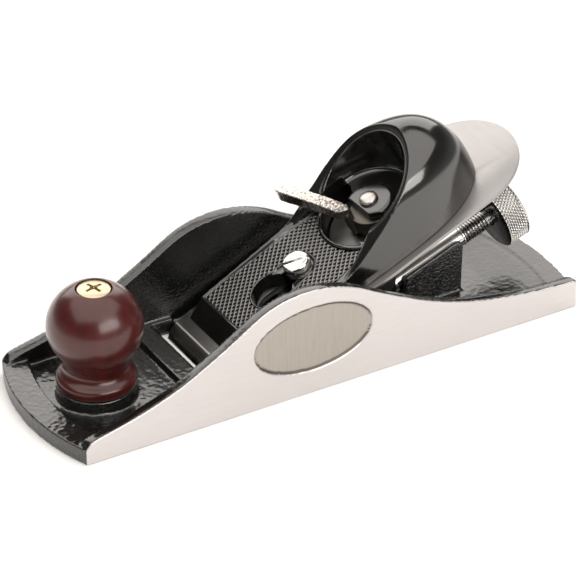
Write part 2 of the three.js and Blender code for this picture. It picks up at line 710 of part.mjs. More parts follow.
const onBed = new THREE.Group();
onBed.applyMatrix4(bedMatrix);
onBed.add(
  node('cutter', cutter(), materials.cutter),
  node('lever_cap', leverCap(), materials.cap),
  node('lever_cap_screw', leverCapScrew(), materials.plated()),
  node('cam_lever', camLever(), materials.plated()),
  node('cam_rivet', camRivet(), materials.plated()),
  node('pressure_plate', pressurePlate(), materials.dark()),
);

const onRod = new THREE.Group();
onRod.applyMatrix4(rodMatrix);
onRod.add(
  node('adjuster_rod', adjusterRod(), materials.plated()),
  node('adjuster_knob', adjusterKnob(), materials.plated()),
);
plane.add(onBed, onRod);

export default plane;
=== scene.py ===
import math

import bmesh
import bpy
import numpy as np
from mathutils import Matrix, Vector, noise


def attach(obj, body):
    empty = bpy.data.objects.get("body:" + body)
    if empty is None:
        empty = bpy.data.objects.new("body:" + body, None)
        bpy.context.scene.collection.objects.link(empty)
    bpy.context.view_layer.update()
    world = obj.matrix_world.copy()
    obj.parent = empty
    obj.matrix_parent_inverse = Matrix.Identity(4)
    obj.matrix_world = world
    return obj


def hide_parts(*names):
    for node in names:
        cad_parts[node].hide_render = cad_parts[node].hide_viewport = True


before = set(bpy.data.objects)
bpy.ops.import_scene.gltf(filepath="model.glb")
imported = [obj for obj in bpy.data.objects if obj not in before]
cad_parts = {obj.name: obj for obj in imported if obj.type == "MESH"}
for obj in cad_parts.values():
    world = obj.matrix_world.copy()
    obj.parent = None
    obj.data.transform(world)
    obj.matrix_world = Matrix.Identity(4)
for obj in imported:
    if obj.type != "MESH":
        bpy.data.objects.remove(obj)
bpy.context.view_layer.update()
scene = bpy.context.scene
MM = 0.001

# Driving dimensions, in millimetres, the same as the solids'.
BED_ANGLE = math.radians(25)
EDGE_X = 33
ROD_ANGLE = math.radians(20.6)
HALF_LENGTH = 84
HALF_WIDTH = 27
INNER_HALF_WIDTH = 23.2
FLOOR_HEIGHT = 3
LIP_HEIGHT = 5
KNOB_X = 66.8
KNOB_BASE = 7
BLADE_THICKNESS = 2.2
BLADE_LENGTH = 118.4
BLADE_HALF_WIDTH = 20.65
BEVEL_ANGLE = math.radians(25)
CAP_UNDERSIDE = 2.3
CAP_HALF_WIDTH = 17.8
CAP_SCREW_S = 41
RIVET_S = 69.7
WEB_UNDERSIDE = 10.2
PAD_TOP = 12.9
KEYHOLE_TRAVEL = 10.5
HOOD_TOP = 28.7
OPENING_RADIUS = 14.6
BOWL_RADIUS = 15.5
PIN_HOLE_RADIUS = 2.08
SPINE_HALF_WIDTH = 5.3
GRIP_X = 10.2
GRIP_Z = 18.4
ROD_X = -69
ROD_Z = 22.4
ROD_RADIUS = 2.9
NUT_DISTANCE = 42.6
LOWER_ARM = 10
THREAD_START = -11
THREAD_END = -1.6
THREAD_DEPTH = 0.58
KNURL_RADIUS = 10.8
KNURL_LENGTH = 8.2
KNURL_TEETH = 58
KNURL_LEAD = 1.5
KNURL_DEPTH = 0.46


def in_metres(rotation, point):
    return Matrix.Translation(Vector(point) * MM) @ rotation


BED = in_metres(Matrix.Rotation(BED_ANGLE, 4, "Y"), (EDGE_X, 0, 0))
ROD = in_metres(Matrix.Rotation(ROD_ANGLE - math.pi / 2, 4, "Y"), (ROD_X, 0, ROD_Z))


# Mesh helpers. Points are in millimetres.

def from_data(name, points, faces):
    mesh = bpy.data.meshes.new(name)
    mesh.from_pydata([(x * MM, y * MM, z * MM) for x, y, z in points], [], faces)
    work = bmesh.new()
    work.from_mesh(mesh)
    bmesh.ops.remove_doubles(work, verts=work.verts, dist=1e-7)
    bmesh.ops.recalc_face_normals(work, faces=work.faces)
    work.to_mesh(mesh)
    work.free()
    piece = bpy.data.objects.new(name, mesh)
    scene.collection.objects.link(piece)
    return piece


def prism(outline, low, high, axis="Z"):
    """An outline in X and Y raised along Z, or in X and Z run along Y."""
    count = len(outline)
    if axis == "Z":
        points = [(a, b, c) for c in (low, high) for a, b in outline]
    else:
        points = [(a, c, b) for c in (low, high) for a, b in outline]
    faces = [tuple(range(count)), tuple(range(count, 2 * count))]
    faces += [(i, (i + 1) % count, (i + 1) % count + count, i + count) for i in range(count)]
    return from_data("prism", points, faces)


def block(x0, x1, y0, y1, z0, z1):
    return prism([(x0, y0), (x1, y0), (x1, y1), (x0, y1)], z0, z1)


def arc(x, y, radius, start, end, steps, stretch=1):
    angles = [start + (end - start) * i / steps for i in range(steps + 1)]
    return [(x + radius * math.cos(a), y + radius * stretch * math.sin(a)) for a in angles]


def disc(x, y, radius, steps=72):
    return arc(x, y, radius, 0, 2 * math.pi, steps)[:-1]


def slot_outline(x0, x1, half, steps=24):
    left = arc(x0 + half, 0, half, math.pi / 2, 3 * math.pi / 2, steps)
    return left + arc(x1 - half, 0, half, -math.pi / 2, math.pi / 2, steps)


def curve_through(knots, steps):
    """A Catmull-Rom curve through the knots."""
    out = []
    last = len(knots) - 1
    for i in range(last):
        p = [np.array(knots[max(0, min(last, i + k))], float) for k in (-1, 0, 1, 2)]
        for j in range(steps):
            t = j / steps
            v0 = (p[2] - p[0]) / 2
            v1 = (p[3] - p[1]) / 2
            cubic = 2 * p[1] - 2 * p[2] + v0 + v1
            square = -3 * p[1] + 3 * p[2] - 2 * v0 - v1
            out.append(tuple(cubic * t**3 + square * t**2 + v0 * t + p[1]))
    return out + [tuple(map(float, knots[-1]))]


def bent(start, control, end, steps=12):
    out = []
    for i in range(1, steps + 1):
        t = i / steps
        out.append(tuple(
            (1 - t) ** 2 * a + 2 * t * (1 - t) * b + t * t * c for a, b, c in zip(start, control, end)
        ))
    return out


def lathe(profile, segments=96, at=(0, 0, 0)):
    """A profile of (radius, height) points turned about Z. It ends on the axis or closes on itself."""
    points, rings = [], []
    for radius, height in profile:
        if radius < 1e-6:
            rings.append([len(points)] * segments)
            points.append((at[0], at[1], at[2] + height))
            continue
        rings.append(list(range(len(points), len(points) + segments)))
        for i in range(segments):
            angle = 2 * math.pi * i / segments
            x, y = radius * math.cos(angle), radius * math.sin(angle)
            points.append((at[0] + x, at[1] + y, at[2] + height))
    faces = []
    for low, high in zip(rings, rings[1:]):
        for i in range(segments):
            j = (i + 1) % segments
            corners = list(dict.fromkeys([low[i], low[j], high[j], high[i]]))
            if len(corners) > 2:
                faces.append(tuple(corners))
    return from_data("lathe", points, faces)


def skin(rings, name="skin"):
    """A closed skin over stacked rings of points, with both ends capped."""
    count = len(rings[0])
    points = [p for ring in rings for p in ring]
    faces = []
    for level in range(len(rings) - 1):
        for i in range(count):
            a, b = level * count + i, level * count + (i + 1) % count
            faces.append((a, b, b + count, a + count))
    faces.append(tuple(range(count)))
    faces.append(tuple(range((len(rings) - 1) * count, len(rings) * count)))
    return from_data(name, points, faces)


def settle(piece):
    """Makes a piece's modifiers part of its mesh."""
    graph = bpy.context.evaluated_depsgraph_get()
    mesh = bpy.data.meshes.new_from_object(piece.evaluated_get(graph))
    piece.modifiers.clear()
    old, piece.data = piece.data, mesh
    bpy.data.meshes.remove(old)
    return piece


def carve(base, tools, operation="DIFFERENCE"):
    for tool in tools:
        change = base.modifiers.new("carve", "BOOLEAN")
        change.operation = operation
        change.solver = "MANIFOLD"
        change.object = tool
    settle(base)
    for tool in tools:
        bpy.data.objects.remove(tool)
    return base


def joined(pieces):
    return carve(pieces[0], pieces[1:], "UNION")


def cast(piece, voxel, rounds):
    """Softens a piece's edges as a casting's, by an even remesh and a little smoothing."""
    grid = piece.modifiers.new("grid", "REMESH")
    grid.mode = "VOXEL"
    grid.voxel_size = voxel * MM
    soft = piece.modifiers.new("soft", "SMOOTH")
    soft.factor = 0.5
    soft.iterations = rounds
    settle(piece)
    piece.data.shade_smooth()
    return piece


def broken_edges(piece, width, segments=2, angle=32):
    """A small bevel along a machined piece's edges."""
    work = bmesh.new()
    work.from_mesh(piece.data)
    bmesh.ops.remove_doubles(work, verts=work.verts, dist=2e-6)
    bmesh.ops.dissolve_limit(work, angle_limit=0.01, verts=work.verts, edges=work.edges)
    work.to_mesh(piece.data)
    work.free()
    bevel = piece.modifiers.new("bevel", "BEVEL")
    bevel.width = width * MM
    bevel.segments = segments
    bevel.limit_method = "ANGLE"
    bevel.angle_limit = math.radians(angle)
    bevel.miter_outer = "MITER_ARC"
    return smooth_to(settle(piece), angle)


def coordinates(piece):
    flat = np.empty(len(piece.data.vertices) * 3, np.float32)
    piece.data.vertices.foreach_get("co", flat)
    return flat.reshape(-1, 3).astype(float) / MM


def vertex_normals(piece):
    flat = np.empty(len(piece.data.vertices) * 3, np.float32)
    piece.data.vertex_normals.foreach_get("vector", flat)
    return flat.reshape(-1, 3).astype(float)


def move_points(piece, points):
    piece.data.vertices.foreach_set("co", (points * MM).astype(np.float32).ravel())
    piece.data.update()
    return piece


def smooth_to(piece, angle):
    """Smooth shading, with edges sharper than the angle in degrees kept sharp."""
    piece.data.shade_smooth()
    piece.data.set_sharp_from_angle(angle=math.radians(angle))
    return piece


def ripple(piece, amount, scale, where):
    """Moves a piece's surface in and out by smooth noise. where gives the share, 0 to 1, per point."""
    points = coordinates(piece)
    normals = vertex_normals(piece)
    share = where(points, normals)
    chosen = np.nonzero(share > 0.001)[0]
    lift = np.zeros(len(points))
    for i in chosen:
        at = Vector(points[i]) / scale
        lift[i] = noise.noise(at) + 0.5 * noise.noise(at * 2.3)
    points += normals * (lift * share * amount)[:, None]
    return move_points(piece, points)


# Materials

class Shader:
    """A material's nodes, built by short calls. home is the frame that the material's places are in."""

    def __init__(self, name, home=None):
        self.material = bpy.data.materials.new(name)
        self.material.use_nodes = True
        self.tree = self.material.node_tree
        self.surface = self.tree.nodes["Principled BSDF"]
        spot = self.tree.nodes.new("ShaderNodeTexCoord")
        self.place, self.facing = spot.outputs["Object"], spot.outputs["Normal"]
        if home is not None:
            inputs = {"Vector": self.place, "Location": home.to_translation()}
            inputs["Rotation"] = home.to_euler()
            self.place = self.add("ShaderNodeMapping", inputs, vector_type="TEXTURE").outputs[0]

    def add(self, kind, inputs=(), **settings):
        made = self.tree.nodes.new(kind)
        for key, value in settings.items():
            setattr(made, key, value)
        for key, value in dict(inputs).items():
            self.feed(made.inputs[key], value)
        return made

    def feed(self, socket, value):
        if isinstance(value, bpy.types.NodeSocket):
            self.tree.links.new(value, socket)
        else:
            socket.default_value = value

    def set(self, **inputs):
        for key, value in inputs.items():
            self.feed(self.surface.inputs[key.replace("_", " ")], value)

    def scaled(self, factors):
        made = self.add("ShaderNodeVectorMath", {0: self.place, 1: factors}, operation="MULTIPLY")
        return made.outputs[0]

    def noise(self, scale, detail=3, roughness=0.6, place=None):
        inputs = {"Vector": place or self.place, "Scale": scale}
        inputs |= {"Detail": detail, "Roughness": roughness}
        return self.add("ShaderNodeTexNoise", inputs).outputs["Fac"]

    def ranged(self, value, low, high, to_low=0.0, to_high=1.0):
        inputs = {"Value": value, "From Min": low, "From Max": high, "To Min": to_low, "To Max": to_high}
        return self.add("ShaderNodeMapRange", inputs).outputs["Result"]

    def math(self, operation, a, b=0.0):
        return self.add("ShaderNodeMath", {0: a, 1: b}, operation=operation).outputs[0]

    def axis(self, name):
        if not hasattr(self, "split"):
            self.split = self.add("ShaderNodeSeparateXYZ", {0: self.place})
        return self.split.outputs[name]

    def blend(self, share, first, second):
        made = self.add("ShaderNodeMix", {"Factor": share}, data_type="RGBA")
        colours = [socket for socket in made.inputs if socket.type == "RGBA"]
        self.feed(colours[0], first)
        self.feed(colours[1], second)
        return [socket for socket in made.outputs if socket.type == "RGBA"][0]

    def mixed(self, share, first, second):
        return self.add("ShaderNodeMix", {"Factor": share, 2: first, 3: second}).outputs[0]

    def mixed_normals(self, share, first, second):
        made = self.add("ShaderNodeMix", {"Factor": share}, data_type="VECTOR")
        vectors = [socket for socket in made.inputs if socket.type == "VECTOR"]
        self.feed(vectors[-2], first)
        self.feed(vectors[-1], second)
        return [socket for socket in made.outputs if socket.type == "VECTOR"][0]

    def bump(self, height, distance, strength=1.0, before=None):
        inputs = {"Height": height, "Distance": distance * MM, "Strength": strength}
        if before is not None:
            inputs["Normal"] = before
        return self.add("ShaderNodeBump", inputs).outputs["Normal"]


def casting_material():
    """Black enamel on iron, ground bright on both sides and the sole, with milled finger grips whose up-
    and down-facing rims carry painted shade.
    """
    s = Shader("enamelled_iron")
    side = s.math("ABSOLUTE", s.axis("Y"))
    on_side = s.ranged(side, 26.72 * MM, 26.82 * MM)
    on_sole = s.ranged(s.axis("Z"), 0.22 * MM, 0.12 * MM)
    across = s.math("DIVIDE", s.math("SUBTRACT", s.axis("X"), GRIP_X * MM), 20.2 * MM)
    up = s.math("DIVIDE", s.math("SUBTRACT", s.axis("Z"), GRIP_Z * MM), 11 * MM)
    reach = s.math("ADD", s.math("MULTIPLY", across, across), s.math("MULTIPLY", up, up))
    in_grip = s.math("MULTIPLY", s.ranged(reach, 1.0, 0.985), s.ranged(side, 25.8 * MM, 25.9 * MM))
    ground = s.math("MAXIMUM", s.math("MAXIMUM", on_side, on_sole), in_grip)
    in_grip = s.math("MULTIPLY", in_grip, s.ranged(side, 26.75 * MM, 26.6 * MM))
    grain = s.noise(1.0, 2, 0.7, s.scaled((90, 900, 1400)))
    cloud = s.noise(60, 3)
    mill = s.noise(1.0, 3, 0.7, s.scaled((2200, 200, 90)))
    bright = s.blend(s.math("MULTIPLY", grain, cloud), (0.70, 0.67, 0.665, 1), (0.62, 0.595, 0.59, 1))
    milled = s.blend(s.ranged(mill, 0.3, 0.7), (0.42, 0.385, 0.345, 1), (0.47, 0.435, 0.395, 1))
    # Painted shade: the milled grips' rims, where they face up or down, are painted dark.
    upright = s.math("ABSOLUTE", s.add("ShaderNodeSeparateXYZ", {0: s.facing}).outputs["Z"])
    milled = s.blend(s.ranged(upright, 0.08, 0.3), milled, (0.13, 0.12, 0.105, 1))
    metal = s.blend(in_grip, bright, milled)
    enamel = s.blend(s.noise(140), (0.003, 0.0035, 0.003, 1), (0.008, 0.009, 0.008, 1))
    s.set(Base_Color=s.blend(ground, enamel, metal), Metallic=ground, IOR=1.85)
    gloss = s.ranged(s.noise(220), 0.3, 0.7, 0.12, 0.26)
    polish = s.mixed(in_grip, s.ranged(grain, 0.2, 0.8, 0.34, 0.5), 0.5)
    s.set(Roughness=s.mixed(ground, gloss, polish))
    depth = s.ranged(s.axis("X"), -36 * MM, -30 * MM, 0.9, 0.22)
    grit = s.math("MULTIPLY", s.noise(1150, 2), depth)
    pebble = s.bump(grit, 1, s.ranged(upright, 0.2, 0.8, 0.95, 0.05))
    rugged = s.ranged(s.axis("X"), -78 * MM, -64 * MM, 0.35, 1.0)
    orange_peel = s.bump(s.noise(560, 2), 0.07, rugged, pebble)
    lines = s.bump(s.mixed(in_grip, grain, mill), 0.012, 0.35)
    s.set(Normal=s.mixed_normals(ground, orange_peel, lines))
    return s.material


def cap_material():
    s = Shader("cap_enamel")
    s.set(Base_Color=s.blend(s.noise(160), (0.004, 0.004, 0.0035, 1), (0.009, 0.009, 0.008, 1)), IOR=1.9)
    s.set(Roughness=s.ranged(s.noise(180), 0.3, 0.7, 0.1, 0.17))
    s.set(Normal=s.bump(s.noise(260, 2), 0.03, 0.2))
    return s.material


def grip_material():
    """The cap's enamel, glossy on the ridges with a painted lighter sheen, and painted shade in the pits
    between them: near black and dull there.
    """
    s = Shader("grip_enamel", BED)
    level = s.math("MULTIPLY", s.axis("X"), -0.065)
    depth = s.math("SUBTRACT", s.math("SUBTRACT", s.axis("Z"), level), (6.6 - 0.065 * 15) * MM)
    proud = s.ranged(depth, -0.16 * MM, 0.08 * MM)
    # Painted shade in the pits, near black with almost no gloss, and a painted sheen of lighter grey on
    # the ridges.
    s.set(Base_Color=s.blend(proud, (0.0015, 0.0015, 0.0015, 1), (0.07, 0.067, 0.062, 1)))
    s.set(Specular_IOR_Level=s.mixed(proud, 0.02, 0.9), IOR=1.9)
    s.set(Roughness=s.ranged(s.noise(300), 0.3, 0.7, 0.22, 0.34))
    return s.material


def wood_material():
    """Close-grained wood, stained dark red-brown under gloss lacquer."""
    s = Shader("lacquered_wood")
    rings = s.noise(1.0, 4, 0.6, s.scaled((420, 260, 60)))
    pores = s.noise(1.0, 2, 0.5, s.scaled((1900, 1900, 160)))
    stain = s.blend(s.ranged(rings, 0.3, 0.72), (0.044, 0.0055, 0.0045, 1), (0.072, 0.009, 0.007, 1))
    s.set(Base_Color=s.blend(s.ranged(pores, 0.62, 0.8, 0, 0.3), stain, (0.03, 0.004, 0.004, 1)))
    s.set(Specular_IOR_Level=0.2, Roughness=s.ranged(pores, 0.3, 0.8, 0.3, 0.4))
    s.set(Coat_Weight=0.9, Coat_Roughness=0.22)
    s.set(Normal=s.bump(rings, 0.006, 0.2))
    return s.material


def metal_material(name, colour, rough, along=(300, 300, 300), bump=0.01, spread=0.1):
    s = Shader(name)
    grain = s.noise(1.0, 3, 0.65, s.scaled(along))
    dull = tuple(c * 0.82 for c in colour[:3]) + (1,)
    s.set(Base_Color=s.blend(s.noise(200), colour, dull), Metallic=1.0)
    s.set(Roughness=s.ranged(grain, 0.25, 0.75, rough, rough + spread))
    s.set(Normal=s.bump(grain, bump, 0.4))
    return s.material


def cast_nickel_material():
    """Nickel over a coarse casting, in random bright and dark blotches, with painted shade darkening all
    that lies low under the web.
    """
    s = Shader("cast_nickel", BED)
    # Painted shade: the lever is painted darker the lower it lies, fully dark below the web's underside.
    high = s.ranged(s.axis("Z"), 10.5 * MM, 15 * MM)
    rough_end = s.ranged(s.axis("Y"), -12 * MM, -2 * MM, 0.0, 0.13)
    blotch_and_shade = s.ranged(s.math("SUBTRACT", s.noise(1350, 4, 0.75), rough_end), 0.36, 0.5)
    blotch_and_shade = s.math("MULTIPLY", blotch_and_shade, high)
    s.set(Base_Color=s.blend(blotch_and_shade, (0.15, 0.138, 0.12, 1), (0.8, 0.755, 0.69, 1)), Metallic=1.0)
    s.set(Roughness=s.ranged(blotch_and_shade, 0, 1, 0.42, 0.2), Normal=s.bump(s.noise(1000, 3), 0.06, 0.8))
    return s.material


def turned_material(name, deep, full, inner_face=None):
    """Plated steel, with painted shade toward the bottom of its cuts. deep and full are distances from
    the axis.

    Inside inner_face, where one is given, the metal is bright again but for its front face, which is
    painted in shade.
    """
    s = Shader(name, ROD)
    flat = s.scaled((1, 1, 0))
    out = s.add("ShaderNodeVectorMath", {0: flat}, operation="LENGTH").outputs["Value"]
    proud = s.ranged(out, deep * MM, full * MM)
    if inner_face:
        # Painted shade on the front face, inside inner_face.
        inside = s.ranged(out, inner_face * MM, (inner_face - 0.2) * MM)
        front = s.ranged(s.axis("Z"), 0.3 * MM, 0.2 * MM)
        shaded = s.math("MULTIPLY", s.math("MULTIPLY", inside, front), 0.92)
        within = s.ranged(out, deep * MM, (deep - 0.3) * MM)
        proud = s.math("SUBTRACT", s.math("MAXIMUM", proud, within), shaded)
    wear = s.noise(500, 3)
    bright = s.blend(wear, (0.88, 0.87, 0.85, 1), (0.7, 0.69, 0.67, 1))
    # Painted shade: near black at the bottom of the cuts, bright on the crests.
    s.set(Base_Color=s.blend(proud, (0.07, 0.07, 0.068, 1), bright), Metallic=1.0)
    s.set(Roughness=s.ranged(wear, 0.3, 0.7, 0.16, 0.26), Normal=s.bump(s.noise(1200, 2), 0.006, 0.3))
    return s.material


def blade_material():
    """Surface-ground steel, with a honed strip at the edge, the bevel behind it painted dark as a
    painted reflection of dark surroundings, and a painted highlight strip just behind the bevel.
    """
    s = Shader("ground_steel", BED)
    down = s.axis("X")
    grain = s.noise(1.0, 2, 0.7, s.scaled((1300, 60, 400)))
    cloud = s.noise(45, 3)
    face = s.blend(s.math("MULTIPLY", grain, cloud), (0.375, 0.362, 0.358, 1), (0.33, 0.32, 0.315, 1))
    # Painted reflection: the bevel is painted dark olive, for the dark it reflects.
    bevel = s.ranged(down, -4.66 * MM, -4.6 * MM)
    honed = s.ranged(down, -1.5 * MM, -1.4 * MM)
    # Painted highlight: a near-white strip on the face just behind the bevel.
    behind = s.ranged(down, -5.25 * MM, -5.15 * MM)
    arris_highlight = s.math("MULTIPLY", behind, s.ranged(down, -4.6 * MM, -4.7 * MM))
    ground = s.blend(bevel, face, (0.22, 0.21, 0.185, 1))
    s.set(Base_Color=s.blend(arris_highlight, ground, (0.98, 0.96, 0.9, 1)), Metallic=s.mixed(arris_highlight, 1.0, 0.6))
    s.set(Roughness=s.mixed(honed, s.ranged(grain, 0.25, 0.75, 0.27, 0.4), 0.12))
    s.set(Normal=s.bump(grain, 0.006, 0.3))
    return s.material


def floor_material():
    s = Shader("pale_floor")
    s.set(Base_Color=s.blend(s.noise(3), (0.93, 0.93, 0.925, 1), (0.95, 0.95, 0.945, 1)), Roughness=0.9)
    s.set(Specular_IOR_Level=0.1)
    return s.material


# Body casting

def bowed_outline(half_length, half_width, toe_bow, heel_bow, steps=40):
    toe_radius = (half_width**2 + toe_bow**2) / (2 * toe_bow)
    heel_radius = (half_width**2 + heel_bow**2) / (2 * heel_bow)
    toe = math.asin(half_width / toe_radius)
    heel = math.asin(half_width / heel_radius)
    front = arc(half_length + toe_bow - toe_radius, 0, toe_radius, -toe, toe, steps)
    centre = heel_radius - half_length - heel_bow
    return front + arc(centre, 0, heel_radius, math.pi - heel, math.pi + heel, steps)


def wall_outline():
    knots = [
        (-84, 9.4), (-64, 10.8), (-46, 13.8), (-30, 18.8), (-14, 26.2), (-1, 32.5), (12, 34.8),
        (25, 32.5), (40, 23.6), (54, 15.9), (68, 10.8), (80, 7.8),
    ]
    crest = curve_through(knots, 14)
    crest += bent((80, 7.8), (HALF_LENGTH, 6.8), (HALF_LENGTH, 4.4))
    return [(-HALF_LENGTH, 0)] + crest + [(HALF_LENGTH, 0)]


def bed_height(x):
    return (EDGE_X - x) * math.tan(BED_ANGLE) - 0.1


def sole_plate():
    plate = prism(bowed_outline(HALF_LENGTH, HALF_WIDTH, 5.6, 4.3), 0, LIP_HEIGHT)
    well = prism(bowed_outline(77.4, INNER_HALF_WIDTH, 3.8, 4), FLOOR_HEIGHT, LIP_HEIGHT + 1)
    return carve(plate, [well])


def heel_ramp():
    """The heel's floor, rising gently to the lip."""
    return prism([(-58, 2), (-58, 3), (-66, 3.2), (-79, 4.6), (-82, 4.65), (-82, 2)], -22.9, 22.9, "Y")


def bed_pieces():
    wide = INNER_HALF_WIDTH + 0.5
    spine = SPINE_HALF_WIDTH
    h = bed_height
    return [
        prism([(30.6, 0.5), (30.6, h(30.6)), (15, h(15)), (15, 0.5)], -wide, wide, "Y"),
        prism([(16, 1), (16, h(16)), (-12, h(-12)), (-12, 1)], -spine, spine, "Y"),
        prism([(3, 1.2), (3, h(3)), (-12, h(-12)), (-12, 1.2)], -13, 13, "Y"),
    ]


def rib():
    outline = [(-36, 1), (-36, 13.3), (-53.6, 20.2)] + bent((-53.6, 20.2), (-56, 20.6), (-56.4, 18.6), 6)
    outline.append((-56.4, 1))
    channel = arc(0, 0, 3.2, math.pi / 2, 3 * math.pi / 2, 24) + [(9, -3.2), (9, 3.2)]
    cut = prism(channel, -55, 5)
    cut.data.transform(ROD)
    return carve(prism(outline, -SPINE_HALF_WIDTH, SPINE_HALF_WIDTH, "Y"), [cut])


def pivot_point():
    """The depth lever's pin in X and Z, square to the rod above the nut."""
    nut_x = ROD_X + NUT_DISTANCE * math.cos(ROD_ANGLE)
    nut_z = ROD_Z - NUT_DISTANCE * math.sin(ROD_ANGLE)
    return nut_x + LOWER_ARM * math.sin(ROD_ANGLE), nut_z + LOWER_ARM * math.cos(ROD_ANGLE)


def lugs():
    x, z = pivot_point()
    outline = [(x + 7, 1)] + arc(x, z, 3.8, 0, math.pi, 24) + [(x - 6, 1)]
    return [prism(outline, 6.4, 9.4, "Y"), prism(outline, -9.4, -6.4, "Y")]


def knob_boss():
    profile = [(0, 0.5), (11.8, 0.5), (11.7, 3.3), (11.5, 4), (11.5, KNOB_BASE), (0, KNOB_BASE)]
    return lathe(profile, 96, (KNOB_X, 0, 0))


def mouth_cut():
    outline = [
        (30.6, -1), (30.6, bed_height(30.6)), (18, bed_height(18)), (18, 10), (42, 10),
        (37.8, LIP_HEIGHT), (34.6, 1), (34.6, -1),
    ]
    return prism(outline, -21.4, 21.4, "Y")


def finger_grip(side):
    outline = arc(GRIP_X, GRIP_Z, 20, 0, 2 * math.pi, 96, 0.54)[:-1]
    low, high = sorted([side * 26.2, side * 28])
    return prism(outline, low, high, "Y")


def cast_skin(points, normals):
    """Where the casting keeps its rough skin: all but the ground sides and the sole."""
    side = np.clip((26.3 - np.abs(points[:, 1])) / 0.5, 0, 1)
    sole = np.clip((points[:, 2] - 0.4) / 0.4, 0, 1)
    facing = np.abs(normals[:, 1]) * (np.abs(points[:, 1]) > 25)
    level = np.clip(normals[:, 2], 0, 1)
    wall = np.abs(points[:, 1]) > INNER_HALF_WIDTH - 0.5
    toe = np.where(points[:, 0] > 30, 1.0, 0.42)
    share = np.where(wall, 0.22, (0.3 + 0.7 * level) * toe)
    return side * sole * (1 - np.clip(facing, 0, 1)) * share


def crowned(iron):
    """Rounds the tops of the side walls down toward the inside."""
    points = coordinates(iron)
    up = np.clip((vertex_normals(iron)[:, 2] - 0.3) / 0.3, 0, 1)
    across = np.abs(points[:, 1])
    on_wall = np.clip((across - 22.9) / 0.3, 0, 1) * np.clip((points[:, 2] - 5.6) / 1.5, 0, 1)
    points[:, 2] -= up * on_wall * np.clip((26.4 - across) / 3.2, 0, 1) ** 2 * 0.5
    return move_points(iron, points)


def body_casting():
    wall = wall_outline()
    iron = joined([
        sole_plate(),
        prism(wall, INNER_HALF_WIDTH, HALF_WIDTH, "Y"),
        prism(wall, -HALF_WIDTH, -INNER_HALF_WIDTH, "Y"),
        block(30, 44.4, -INNER_HALF_WIDTH - 0.4, INNER_HALF_WIDTH + 0.4, 1, LIP_HEIGHT),
        *bed_pieces(),
        heel_ramp(),
        rib(),
        *lugs(),
        knob_boss(),
    ])
    pivot_x, pivot_z = pivot_point()
    screw_hole = lathe([(0, -14), (2.8, -14), (2.8, 1), (0, 1)], 32)
    screw_hole.data.transform(BED @ Matrix.Translation(Vector((-CAP_SCREW_S, 0, 0)) * MM))
    carve(iron, [
        mouth_cut(),
        lathe([(0, 1.5), (2.8, 1.5), (2.8, 9), (0, 9)], 32, (KNOB_X, 0, 0)),
        screw_hole,
        prism(disc(pivot_x, pivot_z, PIN_HOLE_RADIUS, 32), -10, 10, "Y"),
        finger_grip(1),
        finger_grip(-1),
    ])
    return ripple(crowned(cast(iron, 0.45, 3)), 0.13, 1.25, cast_skin)


# Front knob and its screw

def front_knob():
    profile = [(2.75, 0), (10.9, 0), (11.5, 0.3), (11.75, 0.9), (11.75, 2.6), (11.4, 3.3)]
    profile += [(10.6, 3.8), (9.7, 4.5), (9.15, 5.4), (9.0, 6.4), (9.25, 7.4), (9.9, 8.3)]
    angles = np.linspace(-0.76, 1.16, 40)
    profile += [(14 * math.cos(a), 18.8 + (12.8 if a < 0 else 13.5) * math.sin(a)) for a in angles]
    profile += [(5.35, 31.2), (5.25, 30.6), (2.75, 28), (2.75, 0)]
    return smooth_to(lathe(profile, 144, (KNOB_X, 0, KNOB_BASE + 0.1)), 40)


def knob_screw():
    top = KNOB_BASE + 31.2
    profile = [(0, 2), (2.4, 2), (2.4, top - 3.4), (4.85, top - 0.6), (4.8, top - 0.15)]
    profile += [(4.4, top + 0.05), (3, top + 0.3), (1.5, top + 0.42), (0, top + 0.45)]
    screw = lathe(profile, 96, (KNOB_X, 0, 0))
    cross = []
    for turn in (0.25, 0.25 + math.pi / 2):
        wing = block(-2.8, 2.8, -0.5, 0.5, top - 1.6, top + 2)
        wing.data.transform(in_metres(Matrix.Rotation(turn, 4, "Z"), (KNOB_X, 0, 0)))
        cross.append(wing)
    core = [(0, top - 1.7), (0.6, top - 1.6), (1.15, top + 0.6), (0, top + 0.6)]
    cross.append(lathe(core, 32, (KNOB_X, 0, 0)))
    return broken_edges(carve(screw, cross), 0.08)


# Blade, in the bed's frame

def relieved_end(inset, height):
    """The blade's plan, drawn in from its sides and round end by inset."""
    half = BLADE_HALF_WIDTH + 0.01 - inset
    middle = BLADE_HALF_WIDTH - BLADE_LENGTH
    end = arc(middle, 0, half, math.pi / 2, 3 * math.pi / 2, 96)
    return [(x, y, height) for x, y in [(1, -half), (1, half)] + end]


def blade():
    half = BLADE_HALF_WIDTH
    end = arc(half - BLADE_LENGTH, 0, half, math.pi / 2, 3 * math.pi / 2, 96)
    plate = prism([(0, -half), (0, half)] + end, 0, BLADE_THICKNESS)
    run = BLADE_THICKNESS / math.tan(BEVEL_ANGLE)
    ground_off = [(-0.001, 0.02), (1, -0.6), (1, 4), (-run, 4), (-run, BLADE_THICKNESS)]
    bevel = prism(ground_off, -half - 1, half + 1, "Y")
    screw_slot = prism(slot_outline(-55, -24, 5.6), -1, 4)
    nib_slot = block(-61.65, -58.75, -3.6, 3.6, -1, 4)
    levels = [(1.2, -1), (1.2, 0), (0, 1.2), (0, 4)]
    relief = skin([relieved_end(inset, height) for inset, height in levels])
    plate = carve(plate, [relief], "INTERSECT")
    return broken_edges(carve(plate, [bevel, screw_slot, nib_slot]), 0.12)


# Lever cap, in the bed's frame

def flat_height(s):
    return 6.6 + 0.065 * (s - 15)


def rim_height(s):
    """The hood's rim starts level with the flat and rises to a straight slope."""
    rise = 0.46 * (s - 49.5)
    return flat_height(s) + (rise + math.sqrt(rise**2 + 2)) / 2


